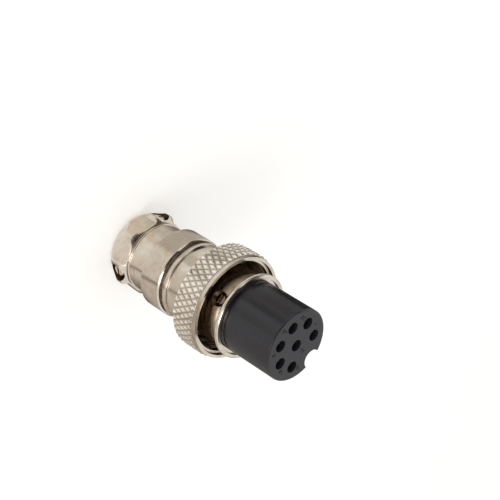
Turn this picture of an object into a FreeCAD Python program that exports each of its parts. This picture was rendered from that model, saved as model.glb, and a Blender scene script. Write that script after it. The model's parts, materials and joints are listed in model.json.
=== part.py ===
"""Cable plug of a circular connector: seven socket contacts, screw coupling, hexagonal cable clamp.

The plug stands on the flat rear face of its clamp. Z is its axis and points out of the insert's
face, the origin is the middle of the rear face, and +X points to the keyway. Millimetres.
"""
import FreeCAD, Part
import math
import os
import re
import Sketcher
from FreeCAD import Rotation, Vector

os.makedirs("parts", exist_ok=True)

SIZES = {
    # overall and insert
    "total_length": 38.4,
    "insert_reach": 10.15,
    "insert_r": 6.2,
    "insert_edge": 0.3,
    "insert_relief": 0.2,
    "tail_r": 5.55,
    "tail_lift": 2.05,
    "keyway_r": 1.6,
    "keyway_inset": 0.45,
    "pin_circle_r": 3.85,
    "pin_steps": 7,
    "entry_r": 1.0,
    "entry_depth": 1.2,
    # contacts
    "contact_r": 1.2,
    "contact_gap": 0.05,
    "contact_bore_r": 0.775,
    "contact_bore_depth": 8,
    "contact_lead": 0.2,
    "contact_tail": 4.4,
    "contact_shank": 0.4,
    "slit_width": 0.3,
    "slit_length": 5,
    "cup_r": 0.95,
    "cup_bore_r": 0.7,
    "cup_depth": 3,
    "cup_cut": 2.4,
    # front shell
    "shell_r": 6.5,
    "shell_bore_r": 5.6,
    "spigot_r": 6,
    "spigot_bore_r": 5.1,
    "spigot_length": 3.8,
    "spigot_step": 0.2,
    "flange_r": 7.35,
    "flange_thick": 0.6,
    "flange_sweep": 0.8,
    "flange_edge": 0.15,
    "seat_gap": 0.5,
    "seat_floor": 0.2,
    # retaining ring in its groove
    "groove_floor_r": 6.1,
    "shoulder_r": 6.4,
    "shoulder_length": 0.7,
    "ring_thick": 0.7,
    "ring_out_r": 6.85,
    "ring_split": 1.2,
    "running_gap": 0.05,
    # coupling ring, from its thread outwards, and its diamond knurl
    "coupling_set": 3.85,
    "coupling_length": 5.8,
    "coupling_lip": 1.3,
    "coupling_gap": 0.1,
    "thread_gap": 0.15,
    "mouth_step": 0.95,
    "mouth_depth": 0.7,
    "mouth_taper": 0.15,
    "rim_wall": 0.5,
    "rim_length": 0.7,
    "knurl_step": 0.05,
    "knurl_depth": 0.27,
    "knurl_count": 50,
    "knurl_angle": 32,
    "heel_step": 1.1,
    "heel_length": 0.95,
    # back shell with its clamp
    "barrel_length": 4.5,
    "barrel_r": 7.1,
    "barrel_edge": 0.25,
    "neck_length": 4.35,
    "neck_r": 6.05,
    "neck_root_r": 5.9,
    "neck_root": 0.5,
    "neck_fillet": 0.2,
    "clamp_thick": 4.9,
    "clamp_r": 7.25,
    "flat_depth": 0.9,
    "rear_bevel": 1.45,
    "rear_slope": 2.65,
    "rear_round": 0.8,
    "front_bevel": 0.9,
    "cable_r": 4.1,
    "nut_depth": 4,
    "nut_gap": 0.1,
    "clamp_turn": -2,
    # clamp screws
    "screw_height": 3,
    "screw_r": 1.15,
    "screw_land": 2.05,
    "screw_gap": 0.05,
    "screw_recess": 0.6,
    "screw_length": 2.4,
    "screw_point": 0.4,
    "screw_dome": 0.5,
    "screw_slot": 0.4,
    "screw_slot_depth": 0.6,
    "sink_r": 1.65,
    "sink_depth": 1.5,
    # insert screw
    "lock_setback": 2.45,
    "lock_turn": 186,
    "lock_r": 0.6,
    "lock_gap": 0.05,
    "lock_head_r": 0.85,
    "lock_head": 0.4,
    "lock_recess": 0.4,
    "lock_length": 1.1,
    "lock_sink_r": 1.4,
    "lock_slot": 0.3,
    "lock_slot_depth": 0.3,
}

CLAMP_SCREWS = 3
HEXAGON = 6
EDGE_TOLERANCE = 0.01

doc = FreeCAD.newDocument("cable_plug")
sheet = doc.addObject("Spreadsheet::Sheet", "dims")
for row, (alias, value) in enumerate(SIZES.items(), start=1):
    sheet.set(f"A{row}", alias)
    sheet.set(f"B{row}", str(value))
    sheet.setAlias(f"B{row}", alias)
doc.recompute()


def value(text):
    """The number that an expression of aliases has with the sheet's present sizes."""
    return float(sheet.evalExpression(text))


def link(text):
    """The text as an expression: every word that is a cell's alias gets the sheet's name."""
    return re.sub(r"[a-z_]+", lambda word: f"dims.{word[0]}" if word[0] in SIZES else word[0], text)


def new_body(label, lift="0"):
    """An empty body, raised along Z by the expression."""
    body = doc.addObject("PartDesign::Body", label)
    body.Label = label
    body.setExpression("Placement.Base.z", link(lift))
    return body


def origin_feature(body, role):
    return next(part for part in body.Origin.OriginFeatures if part.Role == role)


def new_sketch(body, name, role, offset="0"):
    """A sketch on one of the body's own planes, moved off it by the expression."""
    sketch = body.newObject("Sketcher::SketchObject", name)
    sketch.AttachmentSupport = [(origin_feature(body, role), "")]
    sketch.MapMode = "FlatFace"
    sketch.setExpression("AttachmentOffset.Base.z", link(offset))
    return sketch


def place_point(sketch, edge, end, across, up):
    """Hold one end of an edge, or a circle's centre, at two distances from the sketch's origin."""
    for kind, distance in (("DistanceX", across), ("DistanceY", up)):
        number = sketch.addConstraint(Sketcher.Constraint(kind, -1, 1, edge, end, 1.0))
        sketch.setExpression(f"Constraints[{number}]", link(distance))


def add_outline(sketch, points):
    """A closed outline of straight lines through points given as expressions."""
    first = sketch.GeometryCount
    total = len(points)
    for index, point in enumerate(points):
        here = Vector(index, index * index % 7, 0)
        there = Vector(index + 1, (index + 1) ** 2 % 7 + 0.5, 0)
        sketch.addGeometry(Part.LineSegment(here, there), False)
        place_point(sketch, first + index, 1, point[0], point[1])
    for index in range(total):
        following = first + (index + 1) % total
        join = Sketcher.Constraint("Coincident", first + index, 2, following, 1)
        sketch.addConstraint(join)


def add_circle(sketch, across, up, radius):
    number = sketch.addGeometry(Part.Circle(Vector(1, 1, 0), Vector(0, 0, 1), 1), False)
    place_point(sketch, number, 3, across, up)
    size = sketch.addConstraint(Sketcher.Constraint("Radius", number, 1.0))
    sketch.setExpression(f"Constraints[{size}]", link(radius))


def revolve(body, name, points):
    """A solid turned about the body's Z axis from an outline in its XZ plane."""
    sketch = new_sketch(body, f"{name}_profile", "XZ_Plane")
    add_outline(sketch, points)
    feature = body.newObject("PartDesign::Revolution", name)
    feature.Profile = sketch
    feature.ReferenceAxis = (sketch, ["V_Axis"])
    feature.Angle = 360
    sketch.Visibility = False
    return feature


def pocket(body, sketch, name, depth, outward=True):
    """A pocket from the sketch: along its normal when outward, and against it otherwise."""
    before = solid_volume(body)
    feature = body.newObject("PartDesign::Pocket", name)
    feature.Profile = sketch
    feature.setExpression("Length", link(depth))
    feature.Reversed = outward
    doc.recompute()
    if solid_volume(body) >= before:
        raise ValueError(f"{body.Label}: {name} cut nothing")
    return feature


def solid_volume(body):
    doc.recompute()
    return body.Shape.Volume


def repeat_round(body, name, features, angle, count):
    """The features repeated about the body's Z axis over an angle, both ends included."""
    pattern = body.newObject("PartDesign::PolarPattern", name)
    pattern.Originals = features
    pattern.Axis = (origin_feature(body, "Z_Axis"), [""])
    pattern.setExpression("Angle", link(angle))
    pattern.setExpression("Occurrences", link(count))
    body.Tip = pattern
    doc.recompute()
    return pattern


def round_edges(body, name, base, edges, size, kind="PartDesign::Fillet"):
    feature = body.newObject(kind, name)
    feature.Base = (base, edges)
    feature.setExpression("Radius" if kind.endswith("Fillet") else "Size", link(size))
    doc.recompute()
    return feature


def circle_edges(feature, radius, height):
    """Names of the feature's edges that run round Z at a radius and a height, both expressions."""
    doc.recompute()
    names = []
    for number, edge in enumerate(feature.Shape.Edges, start=1):
        misses = [edge.BoundBox.ZMin - value(height), edge.BoundBox.ZMax - value(height)]
        for vertex in edge.Vertexes:
            misses.append(Vector(vertex.X, vertex.Y, 0).Length - value(radius))
        if all(abs(miss) < EDGE_TOLERANCE for miss in misses):
            names.append(f"Edge{number}")
    return names


# heights and radii that several pieces share, as expressions
RIM = "(total_length - insert_reach)"
SEAT = f"({RIM} - flange_thick + seat_floor)"
BARREL_REAR = "(clamp_thick + neck_length)"
BARREL_FRONT = f"({BARREL_REAR} + barrel_length)"
TAIL_END = f"({BARREL_FRONT} + tail_lift)"
GROOVE_REAR = f"({BARREL_FRONT} + shoulder_length)"
GROOVE_FRONT = f"({GROOVE_REAR} + ring_thick + 2 * running_gap)"
COUPLING_REAR = f"({GROOVE_FRONT} + coupling_set)"
CONTACT_FRONT = "(total_length - entry_depth)"
CONTACT_REAR = f"({TAIL_END} - contact_tail)"
CONTACT_LENGTH = f"({CONTACT_FRONT} - {CONTACT_REAR})"
LOCK_HEIGHT = f"({RIM} - lock_setback)"
LOCK_TOP = "(shell_r - lock_recess)"
LOCK_TIP = f"({LOCK_TOP} - lock_length)"
SCREW_TOP = "(clamp_r - screw_recess)"
THREAD_R = "(flange_r + thread_gap)"
MOUTH_R = f"({THREAD_R} + mouth_step)"
PLAIN_RIM_R = f"({MOUTH_R} + rim_wall)"
VALLEY_R = f"({PLAIN_RIM_R} + knurl_step)"
CREST_R = f"({VALLEY_R} + knurl_depth)"
KNURL_LENGTH = "(coupling_length - rim_length)"
PIN_ANGLE = 360 / value("pin_steps")
PIN_COUNT = int(value("pin_steps"))


def make_front_shell():
    """Turned tube: threaded spigot, snap-ring groove, plain body and front flange."""
    body = new_body("front_shell")
    flange_rear = f"{RIM} - flange_thick"
    bore_step = f"{TAIL_END} - spigot_step"
    tube = revolve(body, "turned_tube", [
        ("spigot_bore_r", f"{BARREL_FRONT} - spigot_length"),
        ("spigot_r", f"{BARREL_FRONT} - spigot_length"),
        ("spigot_r", BARREL_FRONT),
        ("shoulder_r", BARREL_FRONT),
        ("shoulder_r", GROOVE_REAR),
        ("groove_floor_r", GROOVE_REAR),
        ("groove_floor_r", GROOVE_FRONT),
        ("shell_r", GROOVE_FRONT),
        ("shell_r", flange_rear),
        ("flange_r", flange_rear),
        ("flange_r", RIM),
        ("insert_r + seat_gap", RIM),
        ("insert_r + seat_gap", SEAT),
        ("shell_bore_r", SEAT),
        ("shell_bore_r", bore_step),
        ("spigot_bore_r", bore_step),
    ])
    corner = circle_edges(tube, "shell_r", flange_rear)
    sweep = round_edges(body, "flange_sweep", tube, corner, "flange_sweep")
    edge = circle_edges(sweep, "flange_r", RIM)
    round_edges(body, "rim_edge", sweep, edge, "flange_edge", "PartDesign::Chamfer")
    cut_lock_hole(body)
    return body


def cut_lock_hole(body):
    """The insert screw's hole through the shell's wall, with a wide countersink."""
    sink = body.newObject("PartDesign::SubtractiveCone", "lock_sink")
    sink.setExpression("Radius1", link("lock_r + lock_gap"))
    sink.setExpression("Radius2", link("2 * lock_sink_r - lock_r - lock_gap"))
    sink.setExpression("Height", link("2 * (lock_recess + lock_head)"))
    set_radial(sink, "lock_turn", f"{LOCK_TOP} - lock_head", LOCK_HEIGHT)
    hole = body.newObject("PartDesign::SubtractiveCylinder", "lock_hole")
    hole.setExpression("Radius", link("lock_r + lock_gap"))
    hole.setExpression("Height", link("shell_r"))
    set_radial(hole, "lock_turn", "spigot_bore_r", LOCK_HEIGHT)
    doc.recompute()


def set_radial(feature, turn, distance, height):
    """Point a feature's Z outwards at an angle round the plug, from a distance off its axis."""
    about_axis = Rotation(Vector(0, 0, 1), value(turn))
    feature.Placement.Rotation = about_axis.multiply(Rotation(Vector(0, 1, 0), 90))
    feature.setExpression("Placement.Base.x", link(f"({distance}) * cos({turn})"))
    feature.setExpression("Placement.Base.y", link(f"({distance}) * sin({turn})"))
    feature.setExpression("Placement.Base.z", link(height))


def make_insert():
    """Moulded insert: head, tail, keyway and a stepped cavity for each contact."""
    body = new_body("insert")
    block = revolve(body, "moulding", [
        ("0", TAIL_END),
        ("tail_r", TAIL_END),
        ("tail_r", SEAT),
        ("insert_r - insert_relief", SEAT),
        ("insert_r - insert_relief", f"{RIM} + insert_relief"),
        ("insert_r", f"{RIM} + insert_relief"),
        ("insert_r", "total_length"),
        ("0", "total_length"),
    ])
    edge = circle_edges(block, "insert_r", "total_length")
    round_edges(body, "face_edge", block, edge, "insert_edge")

    keyway = new_sketch(body, "keyway_section", "XY_Plane", "total_length")
    add_circle(keyway, "insert_r - keyway_inset", "0", "keyway_r")
    pocket(body, keyway, "keyway", "insert_reach", outward=False)

    stepped_cavity(body, "middle", "0", "0")
    around = "pin_circle_r * cos(360 / pin_steps)"
    beside = "pin_circle_r * sin(360 / pin_steps)"
    outer = stepped_cavity(body, "outer", around, beside)
    turn = "360 * (pin_steps - 2) / pin_steps"
    repeat_round(body, "outer_cavities", outer, turn, "pin_steps - 1")

    thread = body.newObject("PartDesign::SubtractiveCylinder", "lock_thread")
    thread.setExpression("Radius", link("lock_r + lock_gap"))
    thread.setExpression("Height", link("tail_r"))
    set_radial(thread, "lock_turn", f"{LOCK_TIP} - lock_gap", LOCK_HEIGHT)
    doc.recompute()
    return body


def stepped_cavity(body, name, across, up):
    """A contact's cavity from the rear, and the narrower pin entry in the face."""
    cavity = new_sketch(body, f"{name}_cavity_section", "XY_Plane", TAIL_END)
    add_circle(cavity, across, up, "contact_r + contact_gap")
    depth = f"{CONTACT_FRONT} - {TAIL_END}"
    entry = new_sketch(body, f"{name}_entry_section", "XY_Plane", "total_length")
    add_circle(entry, across, up, "entry_r")
    return [
        pocket(body, cavity, f"{name}_cavity", depth),
        pocket(body, entry, f"{name}_entry", "2 * entry_depth", outward=False),
    ]


def make_contact(number):
    """Socket contact: bored and slit at the front, solder cup at the rear. Its cup opens outwards."""
    body = new_body(f"contact_{number}", CONTACT_REAR)
    shoulder = "contact_tail + contact_shank"
    revolve(body, "turned_contact", [
        ("0", "cup_depth"),
        ("cup_bore_r", "cup_depth"),
        ("cup_bore_r", "0"),
        ("cup_r", "0"),
        ("cup_r", shoulder),
        ("contact_r", shoulder),
        ("contact_r", CONTACT_LENGTH),
        ("contact_bore_r + contact_lead", CONTACT_LENGTH),
        ("contact_bore_r", f"{CONTACT_LENGTH} - contact_lead"),
        ("contact_bore_r", f"{CONTACT_LENGTH} - contact_bore_depth"),
        ("0", f"{CONTACT_LENGTH} - contact_bore_depth"),
    ])
    cup = new_sketch(body, "cup_cut_section", "XY_Plane")
    add_outline(cup, [
        ("cup_bore_r / 4", "-2 * cup_r"),
        ("2 * cup_r", "-2 * cup_r"),
        ("2 * cup_r", "2 * cup_r"),
        ("cup_bore_r / 4", "2 * cup_r"),
    ])
    pocket(body, cup, "cup_cut", "cup_cut")
    slit = new_sketch(body, "slit_section", "XY_Plane", CONTACT_LENGTH)
    add_outline(slit, [
        ("-slit_width / 2", "-2 * contact_r"),
        ("slit_width / 2", "-2 * contact_r"),
        ("slit_width / 2", "2 * contact_r"),
        ("-slit_width / 2", "2 * contact_r"),
    ])
    pocket(body, slit, "slit", "slit_length", outward=False)
    if number < PIN_COUNT:
        turn = number * PIN_ANGLE
        body.Placement.Rotation = Rotation(Vector(0, 0, 1), turn)
        body.setExpression("Placement.Base.x", link(f"pin_circle_r * cos({turn})"))
        body.setExpression("Placement.Base.y", link(f"pin_circle_r * sin({turn})"))
    return body


def make_insert_screw():
    """Small slotted countersunk screw that holds the insert in the front shell."""
    body = new_body("insert_screw")
    revolve(body, "turned_screw", [
        ("0", LOCK_TIP),
        ("lock_r", LOCK_TIP),
        ("lock_r", f"{LOCK_TOP} - lock_head"),
        ("lock_head_r", LOCK_TOP),
        ("0", LOCK_TOP),
    ])
    cut_slot(body, LOCK_TOP, "lock_slot", "lock_slot_depth", "lock_head_r")
    set_radial(body, "lock_turn", "0", LOCK_HEIGHT)
    return body


def cut_slot(body, top, width, depth, radius):
    """A screwdriver slot across the top of a screw."""
    slot = new_sketch(body, "slot_section", "XY_Plane", top)
    add_outline(slot, [
        (f"-{width} / 2", f"-2 * {radius}"),
        (f"{width} / 2", f"-2 * {radius}"),
        (f"{width} / 2", f"2 * {radius}"),
        (f"-{width} / 2", f"2 * {radius}"),
    ])
    pocket(body, slot, "slot", depth, outward=False)


def make_retaining_ring():
    """Split snap ring in the front shell's groove, where the coupling ring stops."""
    body = new_body("retaining_ring", f"{GROOVE_REAR} + running_gap")
    revolve(body, "flat_ring", [
        ("groove_floor_r + running_gap", "0"),
        ("ring_out_r", "0"),
        ("ring_out_r", "ring_thick"),
        ("groove_floor_r + running_gap", "ring_thick"),
    ])
    split = new_sketch(body, "split_section", "XY_Plane")
    add_outline(split, [
        ("0", "-ring_split / 2"),
        ("2 * ring_out_r", "-ring_split / 2"),
        ("2 * ring_out_r", "ring_split / 2"),
        ("0", "ring_split / 2"),
    ])
    pocket(body, split, "split", "ring_thick")
    return body


def make_coupling_ring():
    """Coupling ring: diamond-knurled stock, turned down to its lip, bore, mouth, heel and plain rim."""
    stock = doc.addObject("Part::Fuse", "ring_stock")
    stock.Base = make_knurled_stock()
    stock.Tool = make_rim_stock()
    ring = doc.addObject("Part::Common", "coupling_ring")
    ring.Label = "coupling_ring"
    ring.Base = stock
    ring.Tool = make_turned_ring()
    ring.setExpression("Placement.Base.z", link(COUPLING_REAR))
    return ring


def make_turned_ring():
    """The space that the lathe leaves of the knurled stock; it clears the knurl's crests."""
    body = new_body("turned_ring")
    lip_r = "shell_r + coupling_gap"
    clear_r = f"{CREST_R} + knurl_step"
    revolve(body, "ring_profile", [
        (lip_r, "0"),
        (f"{CREST_R} - heel_step", "0"),
        (clear_r, "heel_length"),
        (clear_r, KNURL_LENGTH),
        (PLAIN_RIM_R, KNURL_LENGTH),
        (PLAIN_RIM_R, "coupling_length"),
        (MOUTH_R, "coupling_length"),
        (f"{MOUTH_R} - mouth_taper", "coupling_length - mouth_depth"),
        (THREAD_R, "coupling_length - mouth_depth"),
        (THREAD_R, "coupling_lip"),
        (lip_r, "coupling_lip"),
    ])
    return body


def make_rim_stock():
    """Plain round stock in front of the knurl, wider and longer than the rim."""
    disc = doc.addObject("Part::Cylinder", "rim_stock")
    disc.setExpression("Radius", link(f"{CREST_R} + rim_wall"))
    disc.setExpression("Height", link("2 * rim_length"))
    disc.setExpression("Placement.Base.z", link(KNURL_LENGTH))
    return disc


def make_knurled_stock():
    """Round stock whose side is a lattice of four-sided pyramids, with flat ends.

    Two sets of V-grooves cross at the knurl's angle either way. Between four crossings stands a
    pyramid, and its crest lies at the middle of a row. The front end cuts midway between two rows.
    """
    count = int(value("knurl_count"))
    length = value(KNURL_LENGTH)
    slope = math.tan(math.radians(value("knurl_angle")))
    row_height = math.pi * value(CREST_R) / count / slope
    rows = math.ceil(length / row_height)

    def lattice_point(column, row, radius):
        outward = Rotation(Vector(0, 0, 1), 180 * column / count).multVec(Vector(radius, 0, 0))
        return outward + Vector(0, 0, length - (row + 0.5) * row_height)

    facets = []
    for row in range(-1, rows + 1):
        for column in range(row % 2, 2 * count, 2):
            crest = lattice_point(column, row, value(CREST_R))
            crossings = [
                lattice_point(column - 1, row, value(VALLEY_R)),
                lattice_point(column, row + 1, value(VALLEY_R)),
                lattice_point(column + 1, row, value(VALLEY_R)),
                lattice_point(column, row - 1, value(VALLEY_R)),
            ]
            for side in range(4):
                corners = [crest, crossings[side], crossings[(side + 1) % 4]]
                corners = trim_outline(corners, Vector(0, 0, length), Vector(0, 0, -1))
                facets.append(trim_outline(corners, Vector(0, 0, 0), Vector(0, 0, 1)))
    facets = [corners for corners in facets if len(corners) > 2]
    facets += [end_outline(facets, 0), end_outline(facets, length)]
    shell = Part.makeShell([Part.Face(Part.makePolygon(corners + corners[:1])) for corners in facets])
    shell.sewShape()
    solid = Part.Solid(shell)

    # no sketch or primitive makes this lattice, so its sizes are read from the sheet above
    stock = doc.addObject("Part::Feature", "knurled_stock")
    stock.Shape = solid
    return stock


def trim_outline(corners, point, keep):
    """The part of a flat outline on the side of a plane that its normal, keep, points to."""
    kept = []
    for here, there in zip(corners, corners[1:] + corners[:1]):
        before = (here - point).dot(keep)
        after = (there - point).dot(keep)
        if before >= 0:
            kept.append(here)
        if before * after < 0:
            kept.append(here + (there - here) * (before / (before - after)))
    return kept


def end_outline(facets, level):
    """The facets' corners at a level, once each, in order round Z."""
    corners = {}
    for corner in (corner for facet in facets for corner in facet):
        if abs(corner.z - level) < EDGE_TOLERANCE:
            corners[round(math.atan2(corner.y, corner.x), 6)] = corner
    return [corners[angle] for angle in sorted(corners)]


def make_back_shell():
    """Back shell: nut thread, barrel, neck and the hexagonal clamp with its screw holes."""
    body = new_body("back_shell")
    root_front = "clamp_thick + neck_root"
    turned = revolve(body, "turned_shell", [
        ("cable_r", "0"),
        ("clamp_r - rear_bevel", "0"),
        ("clamp_r", "rear_slope"),
        ("clamp_r", "clamp_thick"),
        ("neck_root_r", "clamp_thick"),
        ("neck_root_r", root_front),
        ("neck_r", root_front),
        ("neck_r", BARREL_REAR),
        ("barrel_r", BARREL_REAR),
        ("barrel_r", BARREL_FRONT),
        ("spigot_r + nut_gap", BARREL_FRONT),
        ("spigot_r + nut_gap", f"{BARREL_FRONT} - nut_depth"),
        ("cable_r", f"{BARREL_FRONT} - nut_depth"),
    ])
    rear_edge = circle_edges(turned, "clamp_r - rear_bevel", "0")
    rear = round_edges(body, "rear_round", turned, rear_edge, "rear_round")
    front_edge = circle_edges(rear, "clamp_r", "clamp_thick")
    front = round_edges(body, "front_bevel", rear, front_edge, "front_bevel", "PartDesign::Chamfer")
    root_edge = circle_edges(front, "neck_root_r", "clamp_thick")
    root = round_edges(body, "neck_fillet", front, root_edge, "neck_fillet")
    edges = circle_edges(root, "barrel_r", BARREL_REAR)
    edges += circle_edges(root, "barrel_r", BARREL_FRONT)
    round_edges(body, "barrel_edges", root, edges, "barrel_edge", "PartDesign::Chamfer")

    # the flats stop beside the screws, where a land of the turned surface stands
    flats = new_sketch(body, "flats_section", "XY_Plane")
    add_circle(flats, "0", "0", "2 * clamp_r")
    corner_r = f"(clamp_r - flat_depth) / cos(180 / {HEXAGON})"
    flat_end = f"{corner_r} - screw_land * tan(180 / {HEXAGON})"
    beyond = "1.5 * clamp_r"
    outline = []
    for number in range(CLAMP_SCREWS):
        turn = number * 360 / CLAMP_SCREWS
        outline.append(turned_point(flat_end, "-screw_land", turn))
        outline.append(turned_point(beyond, "-screw_land", turn))
        outline.append(turned_point(beyond, "screw_land", turn))
        outline.append(turned_point(flat_end, "screw_land", turn))
        outline.append(turned_point(corner_r, "0", turn + 360 / HEXAGON))
    add_outline(flats, outline)
    pocket(body, flats, "flats", "clamp_thick")

    hole = new_sketch(body, "screw_hole_section", "YZ_Plane")
    add_circle(hole, "0", "screw_height", "screw_r + screw_gap")
    sink = new_sketch(body, "screw_sink_section", "YZ_Plane", "clamp_r - sink_depth")
    add_circle(sink, "0", "screw_height", "sink_r")
    holes = [
        pocket(body, hole, "screw_hole", "2 * clamp_r"),
        pocket(body, sink, "screw_sink", "2 * clamp_r"),
    ]
    repeat_round(body, "screw_holes", holes, "360", str(CLAMP_SCREWS))
    body.Placement.Rotation = Rotation(Vector(0, 0, 1), value("clamp_turn"))
    return body


def turned_point(along, beside, turn):
    """A sketch point along and beside a direction at an angle, all as expressions."""
    across = f"({along}) * cos({turn}) - ({beside}) * sin({turn})"
    up = f"({along}) * sin({turn}) + ({beside}) * cos({turn})"
    return across, up


def make_clamp_screw(number):
    """Slotted set screw that presses on the cable, in a radial hole at a corner of the clamp."""
    body = new_body(f"clamp_screw_{number}")
    tip = f"{SCREW_TOP} - screw_length"
    turned = revolve(body, "turned_screw", [
        ("0", tip),
        ("screw_r - screw_point", tip),
        ("screw_r", f"{tip} + screw_point"),
        ("screw_r", SCREW_TOP),
        ("0", SCREW_TOP),
    ])
    round_edges(body, "domed_end", turned, circle_edges(turned, "screw_r", SCREW_TOP), "screw_dome")
    cut_slot(body, SCREW_TOP, "screw_slot", "screw_slot_depth", "screw_r")
    turn = (number - 1) * 360 / CLAMP_SCREWS
    set_radial(body, f"clamp_turn + {turn}", "0", "screw_height")
    return body


parts = [make_front_shell(), make_insert(), make_insert_screw()]
parts += [make_contact(number) for number in range(1, PIN_COUNT + 1)]
parts += [make_retaining_ring(), make_coupling_ring(), make_back_shell()]
parts += [make_clamp_screw(number) for number in range(1, CLAMP_SCREWS + 1)]
doc.recompute()

for item in doc.Objects:
    if "Invalid" in item.State or "Error" in item.State:
        raise ValueError(f"{item.Name} failed: {item.State}")
for part in parts:
    if part.Shape.isNull() or not part.Shape.isValid() or not part.Shape.Solids:
        raise ValueError(f"{part.Label} has no sound shape")
    part.Shape.exportStep(f"parts/{part.Label}.step")
    print(part.Label, round(part.Shape.Volume, 2), len(part.Shape.Faces))
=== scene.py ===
import json
import math

import bmesh
import bpy
from bpy.props import FloatProperty, FloatVectorProperty, PointerProperty
from mathutils import Matrix, Vector


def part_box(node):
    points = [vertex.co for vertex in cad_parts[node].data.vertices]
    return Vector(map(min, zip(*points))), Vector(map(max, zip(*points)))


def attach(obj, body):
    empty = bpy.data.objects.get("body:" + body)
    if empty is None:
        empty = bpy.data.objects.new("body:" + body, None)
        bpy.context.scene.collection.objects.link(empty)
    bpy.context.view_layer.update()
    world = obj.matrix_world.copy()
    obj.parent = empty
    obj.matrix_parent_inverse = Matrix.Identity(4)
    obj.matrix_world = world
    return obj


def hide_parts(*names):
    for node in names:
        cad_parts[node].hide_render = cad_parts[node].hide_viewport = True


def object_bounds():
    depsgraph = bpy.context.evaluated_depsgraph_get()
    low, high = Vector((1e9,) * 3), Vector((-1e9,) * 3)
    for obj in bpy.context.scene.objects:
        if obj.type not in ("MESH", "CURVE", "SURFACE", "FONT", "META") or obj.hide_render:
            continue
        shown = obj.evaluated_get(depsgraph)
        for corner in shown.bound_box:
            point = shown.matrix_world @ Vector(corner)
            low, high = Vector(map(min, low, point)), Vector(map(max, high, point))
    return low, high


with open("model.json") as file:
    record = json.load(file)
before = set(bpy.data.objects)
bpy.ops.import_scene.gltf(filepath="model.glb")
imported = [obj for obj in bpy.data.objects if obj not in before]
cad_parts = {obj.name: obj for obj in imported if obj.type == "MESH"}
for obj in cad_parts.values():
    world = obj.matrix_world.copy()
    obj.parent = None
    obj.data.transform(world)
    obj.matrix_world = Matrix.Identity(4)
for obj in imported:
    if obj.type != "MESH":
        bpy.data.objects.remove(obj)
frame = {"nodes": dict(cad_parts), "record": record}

bl_info = {
    "name": "Circular Connector Plug",
    "version": (1, 0, 0),
    "blender": (4, 5, 0),
    "location": "View3D > Sidebar > Plug",
    "description": "Dresses the cable plug of a circular connector and sets up its studio",
    "category": "Object",
}

MM = 0.001
CAD_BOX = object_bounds()
MIDDLE = (Vector(CAD_BOX[0]) + Vector(CAD_BOX[1])) / 2

CONTACTS = [name for name in frame["nodes"] if name.startswith("contact_")]
CLAMP_SCREWS = [name for name in frame["nodes"] if name.startswith("clamp_screw_")]
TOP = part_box("insert")[1][2]

# Points of a mesh that lie closer than this are merged, and faces that turn by less are joined.
DOUBLE_GAP = 0.0005 * MM
FLAT_ANGLE = math.radians(0.5)
# An edge that turns by more than this is rounded.
SHARP_ANGLE = math.radians(25)

# A turned part's finishes after the bright one: thin plate in its bores and holes, and dull
# plate in its groove, both darkened as painted shade.
THIN_AND_SHADED, GROOVE_SHADE = 1, 2
# A face lies in a bore that gets painted shade if its normal leans at least this much towards
# the axis, inside this radius. The coupling ring's mouth is wider, and is plated as well as
# the outside.
INWARD = 0.3
SHADED_BORE_R = 8.2 * MM
# The groove's faces, which get painted shade, lie this near to the rear of the retaining ring,
# inside this radius.
GROOVE_REACH = 1.2 * MM
GROOVE_WALL_R = 6.45 * MM
# How far round their screws the painted shade in the insert screw's recess and the clamp's
# holes reaches.
RECESS_REACH = 1.45 * MM
CLAMP_HOLE_REACH = 1.7 * MM

# Dirt and painted shade on the knurl, and its crests polished with a painted highlight, go by
# height, from 0 at this depth below its crests to 1 at the crests: how much dirt and painted shade
# lies at each height, and the heights between which the plate is polished with a painted
# highlight.
KNURL_REACH = 0.4 * MM
GRIME_AND_SHADE_STOPS = ((0.20, 0.0), (0.26, 0.95), (0.42, 0.3), (0.6, 0.0))
POLISH_AND_HIGHLIGHT_FROM, POLISH_AND_HIGHLIGHT_TO = 0.42, 0.85

# The coupling thread's ridge: how far it is let into the wall, how far its crest stands back from
# the bore, half the widths of its foot and its crest in pitches, and its steps to a turn. The
# bore's own points are found within a tolerance.
THREAD_SINK = 0.1 * MM
THREAD_SETBACK = 0.05 * MM
THREAD_FOOT, THREAD_CREST = 0.44, 0.06
THREAD_STEPS = 48
BORE_TOLERANCE = 0.02 * MM

# How far below the insert's top its glossy side ends and its matt face starts.
SIDE_END = 0.12 * MM
FACE_START = 0.07 * MM

# The numerals' circle outside the ring of holes, how far each is turned from its hole, and where
# the middle hole's numeral stands.
NUMERAL_RING_R = 4.75 * MM
NUMERAL_TURN = math.radians(20.5)
MIDDLE_NUMERAL_X = 2.18 * MM
# A figure of the built-in font is this share of its size high.
FIGURE_HEIGHT = 0.72
# Shares of a numeral's relief: its rounded edge, its straight side, and how far its strokes swell.
NUMERAL_ROUND, NUMERAL_SIDE, NUMERAL_SWELL = 0.6, 0.4, 0.3

# The width of the camera's sensor, and the floor's radius in metres. The floor and its cards lie a
# little below the plug, so that no two faces share a place, and the first card has a tiny hole.
SENSOR_MM = 36
FLOOR_R = 3.0
FLOOR_DROP = 0.02 * MM
CARD_DROP = 0.01 * MM
CARD_HOLE_R = 0.01 * MM
# The softbox: its place from the plug's middle, its side, and its power in watts.
SOFTBOX_PLACE = Vector((-124, -153, 226)) * MM
SOFTBOX_SIDE = 110 * MM
SOFTBOX_POWER = 0.15

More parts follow.
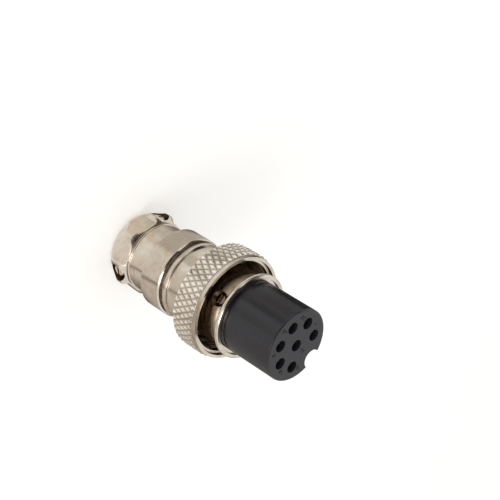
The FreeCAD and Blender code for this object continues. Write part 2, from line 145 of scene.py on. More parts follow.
# What the plug's sides mirror: rings of cards that lie round it, each with its outer radius in
# millimetres and its tones by the angle about the plug's axis. The neck, barrel, collar, knurl and
# insert each mirror a ring of their own, and the last ring shows in the facets that look outwards.
FLOOR_CARDS = (
    (17, (
        (0, "#5a5047"), (50, "#6a6058"), (66, "#7d756c"), (74, "#8a827a"), (88, "#b5afa7"),
        (100, "#dcd6ce"), (130, "#dedad2"), (140, "#f0e8dc"), (157, "#ece2d5"), (160, "#ffffff"),
        (190, "#fffdf8"), (234, "#f4eee6"), (236, "#9a8f80"), (240, "#9a8f80"), (243, "#e8e2da"),
        (262, "#dcd6ce"), (278, "#a8a29a"), (300, "#7f786f"), (330, "#6f665d"),
    )),
    (24.5, (
        (0, "#8f8b84"), (44, "#8f8b84"), (50, "#c0bdb4"), (134, "#cbc7be"), (140, "#c4beb3"),
        (157, "#c4beb3"), (160, "#f2ede6"), (184, "#f0ebe4"), (234, "#e9e3dc"), (236, "#6e6458"),
        (240, "#6e6458"), (242, "#e2ddd6"), (262, "#dad3cb"), (280, "#d3c8c3"), (305, "#bab4af"),
        (330, "#97938e"),
    )),
    (33, (
        (0, "#9a968f"), (44, "#b0aca5"), (58, "#ffffff"), (116, "#ffffff"), (132, "#d8d1c6"),
        (156, "#d5cec3"), (160, "#ffffff"), (178, "#ffffff"), (192, "#ece7e0"), (212, "#e0dad2"),
        (233, "#dcd6ce"), (236, "#8a8072"), (240, "#8a8072"), (243, "#e6e0d9"), (272, "#e2dbd5"),
        (292, "#cfc9c2"), (315, "#c8c2bb"),
    )),
    (43, (
        (0, "#d0cac2"), (50, "#d0cac2"), (70, "#ffffff"), (236, "#ffffff"), (270, "#ece6dc"),
        (320, "#d0cac2"),
    )),
    (75, (
        (0, "#55524f"), (33, "#55524f"), (50, "#000000"), (68, "#000000"), (72, "#76736f"),
        (92, "#aaa6a2"), (112, "#a29e9a"), (130, "#cbc7c2"), (146, "#86827e"), (152, "#86827e"),
        (158, "#ffffff"), (174, "#ffffff"), (184, "#e0dcd8"), (193, "#ccc8c4"), (203, "#ffffff"),
        (236, "#ffffff"), (243, "#e0dcd8"), (252, "#ece8e4"), (272, "#cbc7c2"), (292, "#b6b2ae"),
        (312, "#a6a29e"), (328, "#9b9793"), (345, "#75716d"),
    )),
    (600, (
        (0, "#b8b3aa"), (50, "#c8c4bc"), (70, "#ffffff"), (196, "#ffffff"), (214, "#a8a196"),
        (325, "#a8a196"),
    )),
)

# Dark cards that hang round the plug: name, angle about its axis, angle above the floor, half the
# width, half the height in millimetres, and tone.
HUNG_CARDS = (
    ("flag_over_plug", 165, 80, 150, 268, "#2a221a"),
    ("dark_card_behind", 85, 37, 105, 105, "#4a3c30"),
)
CARD_DISTANCE = 320 * MM


def linear(hex_colour):
    """An sRGB hex colour as linear red, green, blue and alpha."""
    channels = [int(hex_colour[start:start + 2], 16) / 255 for start in (1, 3, 5)]
    curve = [c / 12.92 if c <= 0.04045 else ((c + 0.055) / 1.055) ** 2.4 for c in channels]
    return (*curve, 1.0)


def colour_property(name, description, hex_colour):
    """A colour that the user may change."""
    return FloatVectorProperty(
        name=name, description=description, subtype="COLOR", size=4, min=0, max=1,
        default=linear(hex_colour),
    )


def length_property(name, description, size_mm):
    """A length that the user may change, from its size in millimetres."""
    return FloatProperty(
        name=name, description=description, subtype="DISTANCE", unit="LENGTH", min=0,
        default=size_mm * MM, precision=5,
    )


# ---------------------------------------------------------------- settings

class PlugFinishes(bpy.types.PropertyGroup):
    """Colours of the plug's finishes."""

    nickel: colour_property("Nickel", "Bright nickel plate on the turned brass shells", "#d5ccc0")
    tarnish: colour_property("Tarnish", "Nickel plate where it has dulled", "#bcab93")
    # the thin plate of bores and holes, darkened as painted shade
    thin_plate: colour_property("Thin plate", "Nickel inside bores, thin and brown", "#524130")
    # the groove's plate, darkened as painted shade
    dull_plate: colour_property("Dull plate", "Nickel in the retaining ring's groove", "#b2a597")
    # painted shade as well as dirt, at the foot of the knurl's valleys
    grime: colour_property("Grime", "What gathers in the knurl's valleys", "#7c7160")
    # polish on the knurl's crests, made brighter as a painted highlight
    crest: colour_property("Crests", "Nickel that hands have polished on the knurl", "#fbf4e8")
    moulding: colour_property("Moulding", "Grey-black thermoset of the insert", "#252327")
    # the numerals, coloured darker as painted shade
    engraved: colour_property("Numerals", "The moulding's raised numerals", "#0e0d0f")
    steel: colour_property("Steel", "Zinc-plated steel of the small screws", "#dccfbc")
    # the insert's screw, darkened as painted shade in its recess
    dulled_steel: colour_property("Dulled steel", "The insert's screw, in its recess", "#8a7660")
    # the contacts' plate, tarnished and darkened as painted shade in their holes
    silver: colour_property("Silver", "Silver plate on the contacts, blackened", "#3b3731")


class PlugSizes(bpy.types.PropertyGroup):
    """Sizes of the detail that the scene adds to the CAD solids."""

    edge_round: length_property("Edge round", "Radius on the turned parts' sharp edges", 0.06)
    knurl_round: length_property("Knurl round", "Radius on the knurl's crests and ridges", 0.07)
    screw_round: length_property("Screw round", "Radius on the small screws' edges", 0.04)
    thread_pitch: length_property("Thread pitch", "Pitch of the coupling thread", 1.0)
    thread_depth: length_property("Thread depth", "Depth of the coupling thread's turns", 0.5)
    digit_height: length_property("Digit height", "Height of the numerals on the insert", 0.9)
    digit_relief: length_property("Digit relief", "How far the numerals stand up", 0.08)


class PlugStudio(bpy.types.PropertyGroup):
    """The camera and the light round the plug."""

    camera_lens: FloatProperty(
        name="Lens", description=f"Focal length on the {SENSOR_MM} mm sensor", default=93.6,
        subtype="DISTANCE_CAMERA", unit="CAMERA",
    )
    camera_place: FloatVectorProperty(
        name="Camera place", description="Where the camera stands", subtype="TRANSLATION",
        unit="LENGTH", default=(-168.22 * MM, -12.98 * MM, 147.05 * MM),
    )
    camera_aim: FloatVectorProperty(
        name="Camera aim", description="The direction in which the camera looks",
        subtype="DIRECTION", default=(0.7946, 0.1046, -0.5980),
    )
    camera_up: FloatVectorProperty(
        name="Camera up", description="The direction of the picture's upper edge",
        subtype="DIRECTION", default=(-0.4125, 0.8157, -0.4054),
    )
    floor_colour: colour_property("Floor", "Matt white floor", "#f4f2ee")
    world_level: FloatProperty(
        name="World level", description="Strength of the all-round light", default=0.75,
    )
    floor_lift: FloatProperty(
        name="Floor lift", description="What the camera sees added to the floor's own white",
        default=0.31,
    )


# ---------------------------------------------------------------- materials

# What the materials are made of. A metal keeps the default IOR; 1.45 suits a filled thermoset.
METAL = {"Metallic": 1.0}
MOULDED = {"IOR": 1.45}


def add_node(tree, kind, values=None, links=None, **settings):
    """Add a node with its settings, its input values and the sockets that feed it."""
    node = tree.nodes.new(kind)
    for name, setting in settings.items():
        setattr(node, name, setting)
    for socket, value in (values or {}).items():
        node.inputs[socket].default_value = value
    for socket, source in (links or {}).items():
        tree.links.new(source, node.inputs[socket])
    return node


def new_material(name):
    """An empty node material and its tree."""
    material = bpy.data.materials.new(name)
    material.use_nodes = True
    material.node_tree.nodes.clear()
    return material, material.node_tree


def fill_ramp(ramp, stops):
    """Give a new colour ramp its stops, each a position and a colour."""
    elements = ramp.color_ramp.elements
    ready = len(elements)
    for number, (position, colour) in enumerate(stops):
        stop = elements[number] if number < ready else elements.new(position)
        stop.position = position
        stop.color = colour


def grain(size_mm):
    """A texture's scale for grains of a size in millimetres."""
    return 1 / (size_mm * MM)


def radius_off_axis(tree, place):
    """How far a place lies from the plug's axis."""
    flat = add_node(
        tree, "ShaderNodeVectorMath", {1: (1, 1, 0)}, {0: place}, operation="MULTIPLY",
    )
    return add_node(
        tree, "ShaderNodeVectorMath", links={0: flat.outputs["Vector"]}, operation="LENGTH",
    ).outputs["Value"]


def lathe_marks(tree, place):
    """The height of the fine marks that run round a turned part."""
    height = add_node(tree, "ShaderNodeSeparateXYZ", links={"Vector": place})
    section = add_node(
        tree, "ShaderNodeCombineXYZ",
        links={"X": radius_off_axis(tree, place), "Z": height.outputs["Z"]},
    )
    # the lathe's feed is about 0.05 mm; the marks are drawn at 0.12 mm so that they show
    return add_node(
        tree, "ShaderNodeTexNoise", {"Scale": grain(0.12), "Detail": 2},
        {"Vector": section.outputs["Vector"]},
    ).outputs["Fac"]


def knurl_wear(tree, place):
    """Where the knurl is darkened with dirt and painted shade, which is the foot of its valleys,
    and where it is polished bright with a painted highlight.
    """
    low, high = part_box("coupling_ring")
    crest = (high[0] - low[0]) / 2
    height = add_node(
        tree, "ShaderNodeMapRange", {"From Min": crest - KNURL_REACH, "From Max": crest},
        {"Value": radius_off_axis(tree, place)},
    ).outputs["Result"]
    grime = add_node(tree, "ShaderNodeValToRGB", links={"Fac": height})
    fill_ramp(grime, [(share, (amount, amount, amount, 1)) for share, amount in GRIME_AND_SHADE_STOPS])
    polish_and_highlight = add_node(
        tree, "ShaderNodeMapRange", {"From Min": POLISH_AND_HIGHLIGHT_FROM, "From Max": POLISH_AND_HIGHLIGHT_TO},
        {"Value": height},
    )
    return grime.outputs["Color"], polish_and_highlight.outputs["Result"]


def mottled(tree, colour, pattern, darkest, lightest):
    """A colour that a pattern makes darker and lighter."""
    shade = add_node(
        tree, "ShaderNodeMapRange",
        {"From Min": 0.3, "From Max": 0.7, "To Min": darkest, "To Max": lightest},
        {"Value": pattern},
    )
    return add_node(
        tree, "ShaderNodeVectorMath", {0: tuple(colour)[:3]},
        {"Scale": shade.outputs["Result"]}, operation="SCALE",
    ).outputs["Vector"]


def marked_surface(tree, stuff, colour, gloss, marks, strength=0.3, depth_mm=0.01):
    """A surface of metal or moulding, with its colour, its gloss and the height of its marks."""
    bump = add_node(
        tree, "ShaderNodeBump", {"Strength": strength, "Distance": depth_mm * MM},
        {"Height": marks},
    )
    shader = add_node(
        tree, "ShaderNodeBsdfPrincipled", stuff,
        {"Base Color": colour, "Roughness": gloss, "Normal": bump.outputs["Normal"]},
    )
    add_node(tree, "ShaderNodeOutputMaterial", links={"Surface": shader.outputs["BSDF"]})


def nickel_plate(finishes, knurled=False):
    """Bright nickel plated on turned brass: warm grey, cloudy, with faint marks of the lathe."""
    name = "knurled_nickel_plate" if knurled else "nickel_plate_on_turned_brass"
    material, tree = new_material(name)
    place = add_node(tree, "ShaderNodeTexCoord").outputs["Object"]
    clouds = add_node(
        tree, "ShaderNodeTexNoise", {"Scale": grain(1.8), "Detail": 6, "Roughness": 0.65},
        {"Vector": place},
    ).outputs["Fac"]
    dulled = add_node(
        tree, "ShaderNodeMapRange",
        {"From Min": 0.42, "From Max": 0.75, "To Min": 0.0, "To Max": 0.8}, {"Value": clouds},
    )
    colour = add_node(
        tree, "ShaderNodeMix", {"A": tuple(finishes.nickel), "B": tuple(finishes.tarnish)},
        {"Factor": dulled.outputs["Result"]}, data_type="RGBA",
    )
    # in the knurl: dirt with painted shade in the valleys, and polish with a painted highlight on
    # the crests
    if knurled:
        for tint, amount in zip((finishes.grime, finishes.crest), knurl_wear(tree, place)):
            colour = add_node(
                tree, "ShaderNodeMix", {"B": tuple(tint)},
                {"Factor": amount, "A": colour.outputs["Result"]}, data_type="RGBA",
            )
    pits = add_node(
        tree, "ShaderNodeTexNoise", {"Scale": grain(0.2), "Detail": 3}, {"Vector": place},
    )
    relief = add_node(
        tree, "ShaderNodeMath", links={0: lathe_marks(tree, place), 1: pits.outputs["Fac"]},
        operation="ADD",
    )
    gloss = add_node(
        tree, "ShaderNodeMapRange",
        {"From Min": 0.3, "From Max": 0.75, "To Min": 0.13, "To Max": 0.28}, {"Value": clouds},
    )
    marked_surface(
        tree, METAL, colour.outputs["Result"], gloss.outputs["Result"], relief.outputs["Value"],
    )
    return material


def thin_plate(name, tint):
    """Nickel inside bores and grooves, where the plating bath reaches badly: brown and dull,
    and darkened further as painted shade.
    """
    material, tree = new_material(name)
    place = add_node(tree, "ShaderNodeTexCoord").outputs["Object"]
    stains = add_node(
        tree, "ShaderNodeTexNoise", {"Scale": grain(0.9), "Detail": 4, "Roughness": 0.6},
        {"Vector": place},
    ).outputs["Fac"]
    gloss = add_node(
        tree, "ShaderNodeMapRange",
        {"From Min": 0.3, "From Max": 0.7, "To Min": 0.25, "To Max": 0.42}, {"Value": stains},
    )
    marked_surface(
        tree, METAL, mottled(tree, tint, stains, 0.55, 1.1), gloss.outputs["Result"],
        lathe_marks(tree, place), strength=0.4, depth_mm=0.012,
    )
    return material


def black_moulding(finishes):
    """Filled thermoset, press-moulded: grey-black, glossy along the sides, matt on the face."""
    material, tree = new_material("grey_black_thermoset")
    place = add_node(tree, "ShaderNodeTexCoord").outputs["Object"]
    # the drawn marks of the mould run along the plug, and are about 17 times longer than wide
    drawn = add_node(
        tree, "ShaderNodeVectorMath", {1: (1, 1, 0.06)}, {0: place}, operation="MULTIPLY",
    )
    streaks = add_node(
        tree, "ShaderNodeTexNoise", {"Scale": grain(1.4), "Detail": 1, "Roughness": 0.5},
        {"Vector": drawn.outputs["Vector"]},
    )
    filler = add_node(
        tree, "ShaderNodeTexNoise", {"Scale": grain(0.16), "Detail": 3, "Roughness": 0.65},
        {"Vector": place},
    ).outputs["Fac"]
    height = add_node(tree, "ShaderNodeSeparateXYZ", links={"Vector": place})
    face = add_node(
        tree, "ShaderNodeMapRange", {"From Min": TOP - SIDE_END, "From Max": TOP - FACE_START},
        {"Value": height.outputs["Z"]},
    )
    sheen = add_node(
        tree, "ShaderNodeMapRange",
        {"From Min": 0.35, "From Max": 0.65, "To Min": 0.24, "To Max": 0.32},
        {"Value": streaks.outputs["Fac"]},
    )
    gloss = add_node(
        tree, "ShaderNodeMix", {"B": 0.45},
        {"Factor": face.outputs["Result"], "A": sheen.outputs["Result"]}, data_type="FLOAT",
    )
    marked_surface(
        tree, MOULDED, mottled(tree, finishes.moulding, filler, 0.7, 1.3),
        gloss.outputs["Result"], filler, strength=0.35, depth_mm=0.012,
    )
    return material


def polished_moulding(finishes):
    """The moulding where the mould was cut for the numerals: smoother than the face, and darker
    as painted shade.
    """
    material, tree = new_material("polished_thermoset")
    place = add_node(tree, "ShaderNodeTexCoord").outputs["Object"]
    waves = add_node(
        tree, "ShaderNodeTexNoise", {"Scale": grain(0.3), "Detail": 2}, {"Vector": place},
    )
    gloss = add_node(
        tree, "ShaderNodeMapRange", {"To Min": 0.12, "To Max": 0.3},
        {"Value": waves.outputs["Fac"]},
    )
    shader = add_node(
        tree, "ShaderNodeBsdfPrincipled", {"Base Color": tuple(finishes.engraved), **MOULDED},
        {"Roughness": gloss.outputs["Result"]},
    )
    add_node(tree, "ShaderNodeOutputMaterial", links={"Surface": shader.outputs["BSDF"]})
    return material


def small_metal(name, colour, rough_low, rough_high):
    """Plated small part: bright, with fine wipe marks of barrel plating."""
    material, tree = new_material(name)
    place = add_node(tree, "ShaderNodeTexCoord").outputs["Object"]
    marks = add_node(
        tree, "ShaderNodeTexNoise", {"Scale": grain(0.3), "Detail": 4}, {"Vector": place},
    ).outputs["Fac"]
    gloss = add_node(
        tree, "ShaderNodeMapRange",
        {"From Min": 0.3, "From Max": 0.7, "To Min": rough_low, "To Max": rough_high},
        {"Value": marks},
    )
    marked_surface(
        tree, METAL, mottled(tree, colour, marks, 0.85, 1.0), gloss.outputs["Result"], marks,
    )
    return material


# ---------------------------------------------------------------- mesh helpers

def link_mesh(bm, name, materials):
    """A mesh object in the scene, from a bmesh and its materials."""
    mesh = bpy.data.meshes.new(name)
    bm.to_mesh(mesh)
    bm.free()
    for material in materials:
        mesh.materials.append(material)
    thing = bpy.data.objects.new(name, mesh)
    bpy.context.scene.collection.objects.link(thing)
    return thing


def make_piece(bm, name, materials, body):
    """A finished piece from a bmesh, riding on its body."""
    piece = link_mesh(bm, name, materials)
    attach(piece, body)
    return piece


def copy_node(node):
    """A bmesh copy of a CAD node with its doubles merged and its flat facets joined."""
    bm = bmesh.new()
    bm.from_mesh(frame["nodes"][node].data)
    bmesh.ops.remove_doubles(bm, verts=bm.verts, dist=DOUBLE_GAP)
    bmesh.ops.dissolve_limit(bm, angle_limit=FLAT_ANGLE, verts=bm.verts, edges=bm.edges)
    return bm


def round_edges(bm, radius):
    """Round every sharp edge, and shade the rest smooth."""
    sharp = [e for e in bm.edges if e.is_manifold and e.calc_face_angle(0) > SHARP_ANGLE]
    bmesh.ops.bevel(
        bm, geom=sharp, offset=radius, offset_type="OFFSET", segments=2, profile=0.5,
        affect="EDGES", clamp_overlap=True, material=-1,
    )
    for face in bm.faces:
        face.smooth = True


def level_shading(piece):
    """Let large flat faces keep their own normals beside the rounded edges."""
    weighted = piece.modifiers.new("level_shading", "WEIGHTED_NORMAL")
    weighted.mode = "FACE_AREA"
    weighted.weight = 80
    weighted.keep_sharp = True


def body_of_node(node):
    """The name of the body that a CAD node belongs to."""
    bodies = frame["record"]["behaviour"]["bodies"]
    return next(body for body, nodes in bodies.items() if node in nodes)


def screw_line(node):
    """The plug's axis at a radial screw's height, and the way in which the screw points out."""
    low, high = (Vector(corner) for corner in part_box(node))
    middle = (low + high) / 2
    foot = Vector((0, 0, middle.z))
    return foot, (middle - foot).normalized()


def dull_inside(bm, holes, reach):
    """Give the bores and holes the thin plate, and the retaining ring's groove the dull one,
    each darker as painted shade.
    """
    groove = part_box("retaining_ring")[0][2]
    for face in bm.faces:
        middle = face.calc_center_median()
        if abs(middle.z - groove) < GROOVE_REACH and middle.xy.length < GROOVE_WALL_R:
            face.material_index = GROOVE_SHADE
        inward = face.normal.dot(Vector((middle.x, middle.y, 0)).normalized()) < -INWARD
        in_hole = any(
            all(
                (v.co - foot).cross(outward).length < reach and (v.co - foot).dot(outward) > 0
                for v in face.verts
            )
            for foot, outward in holes
        )
        if in_hole or (inward and middle.xy.length < SHADED_BORE_R):
            face.material_index = THIN_AND_SHADED


def soften(node, name, materials, radius, change=None, holes=(), reach=0.0):
    """Stand a rounded copy of a CAD node in its place."""
    bm = copy_node(node)
    if change:
        change(bm)
    round_edges(bm, radius)
    if len(materials) > 1:
        dull_inside(bm, [screw_line(screw) for screw in holes], reach)
    piece = make_piece(bm, name, materials, body_of_node(node))
    level_shading(piece)
    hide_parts(node)


def widen_bore(bm, bore_r, root_r):
    """Move the coupling bore's wall out to the root of its thread."""
    for vert in bm.verts:
        radius = vert.co.xy.length
        if abs(radius - bore_r) < BORE_TOLERANCE:
            vert.co.xy *= root_r / radius


def thread_turns(bore_r, root_r, low, high, pitch):
    """The coupling thread's turns as one closed helical ridge, sunk a little into the wall."""
    sunk_r, crest_r = root_r + THREAD_SINK, bore_r + THREAD_SETBACK
    half = [(crest_r, THREAD_CREST), (root_r, THREAD_FOOT), (sunk_r, THREAD_FOOT)]
    profile = [(r, -up) for r, up in reversed(half)] + half
    # the ridge starts and ends half a pitch inside the bore
    first, turns = low + pitch / 2, (high - low) / pitch - 1
    bm = bmesh.new()
    verts = [bm.verts.new((r, 0, first + up * pitch)) for r, up in profile]
    loop = [bm.edges.new(pair) for pair in zip(verts, verts[1:] + verts[:1])]
    count = round(turns * THREAD_STEPS)
    spun = bmesh.ops.spin(
        bm, geom=verts + loop, axis=(0, 0, 1), cent=(0, 0, 0), steps=count,
        angle=math.tau * count / THREAD_STEPS, dvec=(0, 0, pitch / THREAD_STEPS),
        use_duplicate=False,
    )
    last = [item for item in spun["geom_last"] if isinstance(item, bmesh.types.BMVert)]
    bmesh.ops.contextual_create(bm, geom=verts)
    bmesh.ops.contextual_create(bm, geom=last)
    bmesh.ops.recalc_face_normals(bm, faces=bm.faces)
    return bm


def press_face(bm, depth):
    """Lower the insert's face by the numerals' relief, so that they end where it did."""
    # the lowering fades out over this height, so that the edge stays sound
    band = 0.35 * MM
    for vert in bm.verts:
        above = vert.co.z - (TOP - band)
        if above > 0:
            vert.co.z -= depth * above / band


def thread_bore():
    """The coupling thread's bore in the CAD ring: its radius and the heights of its ends."""
    mount = next(m for m in frame["record"]["mounts"] if m["name"] == "coupling_thread")
    middle, half = mount["pos_m"][2], mount["dims"]["length_mm"] * MM / 2
    return mount["dims"]["r_mm"] * MM, middle - half, middle + half


def numeral_place(number, relief):
    """Where a numeral stands on the face: outside the ring of holes, or beside the middle one."""
    # the last contact is the one in the middle
    if number == len(CONTACTS):
        spot = Vector((MIDDLE_NUMERAL_X, 0, 0))
    else:
        angle = math.tau * number / len(CONTACTS) + NUMERAL_TURN
        spot = Vector((math.cos(angle), math.sin(angle), 0)) * NUMERAL_RING_R
    spot.z = TOP - relief
    return Matrix.Translation(spot) @ Matrix.Rotation(-math.pi / 2, 4, "Z")


def raise_numeral(bm, number, height, relief):
    """Add a generic numeral with rounded edges to the face's numerals."""
    curve = bpy.data.curves.new(f"numeral_{number}", "FONT")
    curve.body = str(number)
    curve.size = height / FIGURE_HEIGHT
    curve.align_x = "CENTER"
    curve.align_y = "CENTER"
    curve.bevel_depth = relief * NUMERAL_ROUND
    curve.extrude = relief * NUMERAL_SIDE
    curve.offset = relief * NUMERAL_SWELL
    curve.bevel_resolution = 1
    curve.resolution_u = 3
    holder = bpy.data.objects.new(curve.name, curve)
    mesh = bpy.data.meshes.new_from_object(holder)
    mesh.transform(numeral_place(number, relief))
    bm.from_mesh(mesh)
    bpy.data.meshes.remove(mesh)
    bpy.data.objects.remove(holder)
    bpy.data.curves.remove(curve)


# ---------------------------------------------------------------- stage

def camera_frame(studio):
    """The camera's right, up and backward directions as a rotation."""
    aim = Vector(studio.camera_aim).normalized()
    right = aim.cross(Vector(studio.camera_up)).normalized()
    up = right.cross(aim)
    return Matrix((right, up, -aim)).transposed()


def aim_camera(scene, studio):
    """Stand the camera in its place and make it the scene's own."""
    lens = bpy.data.cameras.new("studio_camera")
    lens.sensor_width = SENSOR_MM
    lens.lens = studio.camera_lens
    lens.clip_start = 0.01
    camera = bpy.data.objects.new("studio_camera", lens)
    place = Matrix.Translation(Vector(studio.camera_place))
    camera.matrix_world = place @ camera_frame(studio).to_4x4()
    scene.collection.objects.link(camera)
    scene.camera = camera


def stage_card(bm, name, material):
    """The floor or a card of the studio, which isn't part of the plug."""
    card = link_mesh(bm, name, [material])
    return card


def lay_floor(studio):
    """Matt white floor; the camera sees a little added, so that it is white beside the shadow."""
    material, tree = new_material("matt_white_floor")
    paint = add_node(tree, "ShaderNodeBsdfDiffuse", {"Color": tuple(studio.floor_colour)})
    rays = add_node(tree, "ShaderNodeLightPath")
    lift = add_node(
        tree, "ShaderNodeMath", {1: studio.floor_lift}, {0: rays.outputs["Is Camera Ray"]},
        operation="MULTIPLY",
    )
    glow = add_node(tree, "ShaderNodeEmission", links={"Strength": lift.outputs["Value"]})
    both = add_node(
        tree, "ShaderNodeAddShader",
        links={0: paint.outputs["BSDF"], 1: glow.outputs["Emission"]},
    )
    add_node(tree, "ShaderNodeOutputMaterial", links={"Surface": both.outputs["Shader"]})
    bm = bmesh.new()
    bmesh.ops.create_circle(bm, cap_ends=True, radius=FLOOR_R, segments=64)
    bmesh.ops.translate(bm, verts=bm.verts, vec=(0, 0, -FLOOR_DROP))
    stage_card(bm, "floor", material)


def mirror_only(card):
    """Leave a card to be seen in polished surfaces alone; it casts no shadow and no light."""
    card.visible_camera = False
    card.visible_diffuse = False
    card.visible_transmission = False
    card.visible_shadow = False


def ring_of_tones(name, tones):
    """Paint for a card whose tone changes with the angle about the plug's axis."""
    material, tree = new_material(name)
    place = add_node(tree, "ShaderNodeTexCoord").outputs["Object"]
    around = add_node(
        tree, "ShaderNodeTexGradient", links={"Vector": place}, gradient_type="RADIAL",
    )
    ramp = add_node(tree, "ShaderNodeValToRGB", links={"Fac": around.outputs["Fac"]})
    # the gradient starts opposite the keyway, at 180 degrees
    stops = sorted(((angle / 360 + 0.5) % 1, linear(tone)) for angle, tone in tones)
    fill_ramp(ramp, [*stops, (1.0, stops[0][1])])
    paint = add_node(tree, "ShaderNodeEmission", links={"Color": ramp.outputs["Color"]})
    add_node(tree, "ShaderNodeOutputMaterial", links={"Surface": paint.outputs["Emission"]})
    return material


def lay_floor_cards():
    """Lay the rings of cards on the floor, one inside the next."""
    inner = CARD_HOLE_R
    for number, (radius_mm, tones) in enumerate(FLOOR_CARDS, start=1):
        outer = radius_mm * MM
        bm = bmesh.new()
        for radius in (inner, outer):
            bmesh.ops.create_circle(bm, radius=radius, segments=96)
        bmesh.ops.bridge_loops(bm, edges=bm.edges)
        bmesh.ops.translate(bm, verts=bm.verts, vec=(0, 0, -CARD_DROP))
        paint = ring_of_tones(f"card_tones_{number}", tones)
        mirror_only(stage_card(bm, f"floor_card_{number}", paint))
        inner = outer


def facing_plug(place):
    """The placement of a card or lamp that looks from a place at the plug's middle."""
    turn = (MIDDLE - place).to_track_quat("-Z", "Y").to_matrix().to_4x4()
    return Matrix.Translation(place) @ turn


def hang_cards():
    """Hang the dark cards, each square on to the plug."""
    for name, around, above, half_width, half_height, tone in HUNG_CARDS:
        material, tree = new_material(name)
        paint = add_node(tree, "ShaderNodeEmission", {"Color": linear(tone)})
        add_node(tree, "ShaderNodeOutputMaterial", links={"Surface": paint.outputs["Emission"]})
        turn, tilt = math.radians(around), math.radians(above)
        level = math.cos(tilt)
        out = Vector((level * math.cos(turn), level * math.sin(turn), math.sin(tilt)))
        bm = bmesh.new()
        bmesh.ops.create_grid(bm, x_segments=1, y_segments=1, size=MM)
        bmesh.ops.scale(bm, vec=(half_width, half_height, 1), verts=bm.verts)
        bmesh.ops.transform(bm, matrix=facing_plug(MIDDLE + out * CARD_DISTANCE), verts=bm.verts)
        mirror_only(stage_card(bm, name, material))


def light_world(scene, studio):
    """Pale all-round light; the camera, metal and glass see it as white."""
    world = bpy.data.worlds.new("studio_world")
    world.use_nodes = True
    tree = world.node_tree
    tree.nodes.clear()
    rays = add_node(tree, "ShaderNodeLightPath")
    seen = add_node(
        tree, "ShaderNodeMath",
        links={0: rays.outputs["Is Camera Ray"], 1: rays.outputs["Is Glossy Ray"]},
        operation="MAXIMUM",
    )
    through = add_node(
        tree, "ShaderNodeMath",
        links={0: seen.outputs["Value"], 1: rays.outputs["Is Transmission Ray"]},
        operation="MAXIMUM",
    )
    level = add_node(
        tree, "ShaderNodeMapRange", {"To Min": studio.world_level, "To Max": 1.0},
        {"Value": through.outputs["Value"]},
    )
    sky = add_node(
        tree, "ShaderNodeBackground", {"Color": (1, 1, 1, 1)},
        {"Strength": level.outputs["Result"]},
    )
    add_node(tree, "ShaderNodeOutputWorld", links={"Surface": sky.outputs["Background"]})
    scene.world = world


def place_softbox():
    """Stand the softbox where the chamfers that face the camera mirror it."""
    lamp = bpy.data.lights.new("softbox", "AREA")
    lamp.shape = "SQUARE"
    lamp.size = SOFTBOX_SIDE
    lamp.energy = SOFTBOX_POWER
    light = bpy.data.objects.new("softbox", lamp)
    light.matrix_world = facing_plug(MIDDLE + SOFTBOX_PLACE)
    bpy.context.scene.collection.objects.link(light)


# ---------------------------------------------------------------- operators

class PLUG_OT_shells(bpy.types.Operator):
    """Round the edges of the two nickel-plated shells and of the ring between them"""

    bl_idname = "plug.shells"
    bl_label = "Shells"

    def execute(self, context):
        finishes = context.scene.plug_finishes
        bright = nickel_plate(finishes)
        plate = [
            bright,
            # the bores, holes and recess, and the groove, take plates darkened as painted shade
            thin_plate("thin_nickel_over_brass", finishes.thin_plate),
            thin_plate("dull_nickel_over_brass", finishes.dull_plate),
        ]
        radius = context.scene.plug_sizes.edge_round
        soften(
            "front_shell", "turned_front_shell", plate, radius,
            holes=["insert_screw"], reach=RECESS_REACH,
        )
        soften(
            "back_shell", "turned_back_shell", plate, radius,
            holes=CLAMP_SCREWS, reach=CLAMP_HOLE_REACH,
        )
        soften("retaining_ring", "split_retaining_ring", [bright], radius)
        return {"FINISHED"}


class PLUG_OT_coupling_ring(bpy.types.Operator):
    """Round the knurl and cut the coupling thread's turns"""

    bl_idname = "plug.coupling_ring"
    bl_label = "Coupling ring"

    def execute(self, context):
        sizes = context.scene.plug_sizes
        finishes = context.scene.plug_finishes
        bright = nickel_plate(finishes, knurled=True)
        # the ring's bore and its thread take thin plate darkened as painted shade
        thin = thin_plate("thin_nickel_over_brass", finishes.thin_plate)
        bore_r, low, high = thread_bore()
        root_r = bore_r + sizes.thread_depth
        soften(
            "coupling_ring", "knurled_coupling_ring", [bright, thin],
            sizes.knurl_round, change=lambda bm: widen_bore(bm, bore_r, root_r),
        )
        ridge = thread_turns(bore_r, root_r, low, high, sizes.thread_pitch)
        for face in ridge.faces:
            face.smooth = True
        piece = make_piece(ridge, "coupling_thread", [thin], "coupling_ring")
        level_shading(piece)
        return {"FINISHED"}


class PLUG_OT_insert(bpy.types.Operator):
    """Finish the moulded insert and raise its numerals"""

    bl_idname = "plug.insert"
    bl_label = "Insert"

    def execute(self, context):
        sizes = context.scene.plug_sizes
        finishes = context.scene.plug_finishes
        relief = sizes.digit_relief
        soften(
            "insert", "moulded_insert", [black_moulding(finishes)],
            sizes.edge_round / 2, change=lambda bm: press_face(bm, relief),
        )
        digits = bmesh.new()
        for name in CONTACTS:
            number = int(name.removeprefix("contact_"))
            raise_numeral(digits, number, sizes.digit_height, relief)
        bmesh.ops.remove_doubles(digits, verts=digits.verts, dist=DOUBLE_GAP)
        polished = polished_moulding(finishes)
        make_piece(digits, "raised_numerals", [polished], "plug")
        return {"FINISHED"}


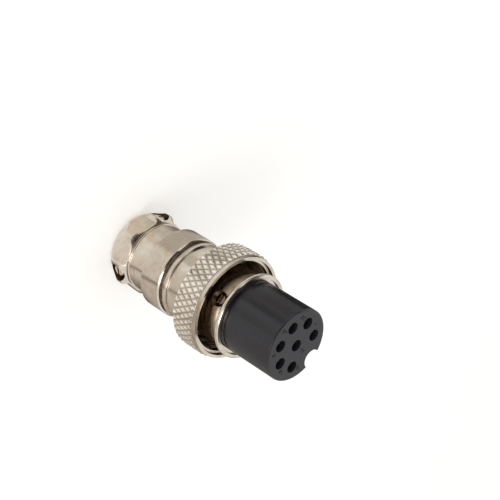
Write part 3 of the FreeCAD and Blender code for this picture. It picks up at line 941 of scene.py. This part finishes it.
class PLUG_OT_small_parts(bpy.types.Operator):
    """Finish the contacts and the screws"""

    bl_idname = "plug.small_parts"
    bl_label = "Contacts and screws"

    def execute(self, context):
        finishes = context.scene.plug_finishes
        radius = context.scene.plug_sizes.screw_round
        # contacts tarnished, and darkened as painted shade in their holes
        silver = small_metal("tarnished_silver_plate_on_brass", finishes.silver, 0.4, 0.6)
        steel = small_metal("zinc_plated_steel", finishes.steel, 0.2, 0.35)
        # the insert's screw darkened as painted shade in its recess
        dulled = small_metal("dulled_steel", finishes.dulled_steel, 0.15, 0.3)
        for name in CONTACTS:
            frame["nodes"][name].data.materials[0] = silver
        for name in CLAMP_SCREWS:
            soften(name, f"slotted_{name}", [steel], radius)
        soften("insert_screw", "slotted_insert_screw", [dulled], radius)
        return {"FINISHED"}


class PLUG_OT_stage(bpy.types.Operator):
    """Set up the floor, the light and the camera"""

    bl_idname = "plug.stage"
    bl_label = "Stage"

    def execute(self, context):
        studio = context.scene.plug_studio
        aim_camera(context.scene, studio)
        lay_floor(studio)
        lay_floor_cards()
        hang_cards()
        light_world(context.scene, studio)
        place_softbox()
        context.scene.view_settings.view_transform = "Standard"
        return {"FINISHED"}


# ---------------------------------------------------------------- panel and run

class PLUG_PT_sidebar(bpy.types.Panel):
    """The plug's steps, in order"""

    bl_idname = "PLUG_PT_sidebar"
    bl_label = "Circular connector plug"
    bl_space_type = "VIEW_3D"
    bl_region_type = "UI"
    bl_category = "Plug"

    def draw(self, context):
        for step in STEPS:
            self.layout.operator(step.bl_idname)


STEPS = (
    PLUG_OT_shells,
    PLUG_OT_coupling_ring,
    PLUG_OT_insert,
    PLUG_OT_small_parts,
    PLUG_OT_stage,
)
SETTINGS = {
    "plug_finishes": PlugFinishes,
    "plug_sizes": PlugSizes,
    "plug_studio": PlugStudio,
}


def register():
    """Add the plug's settings, steps and panel."""
    for kind in (*SETTINGS.values(), *STEPS, PLUG_PT_sidebar):
        bpy.utils.register_class(kind)
    for name, kind in SETTINGS.items():
        setattr(bpy.types.Scene, name, PointerProperty(type=kind))


def unregister():
    """Take away what register added."""
    for name in SETTINGS:
        delattr(bpy.types.Scene, name)
    for kind in reversed((*SETTINGS.values(), *STEPS, PLUG_PT_sidebar)):
        bpy.utils.unregister_class(kind)


def main():
    """Run every step in order."""
    register()
    for step in STEPS:
        group, action = step.bl_idname.split(".")
        getattr(getattr(bpy.ops, group), action)()


if __name__ == "__main__":
    main()
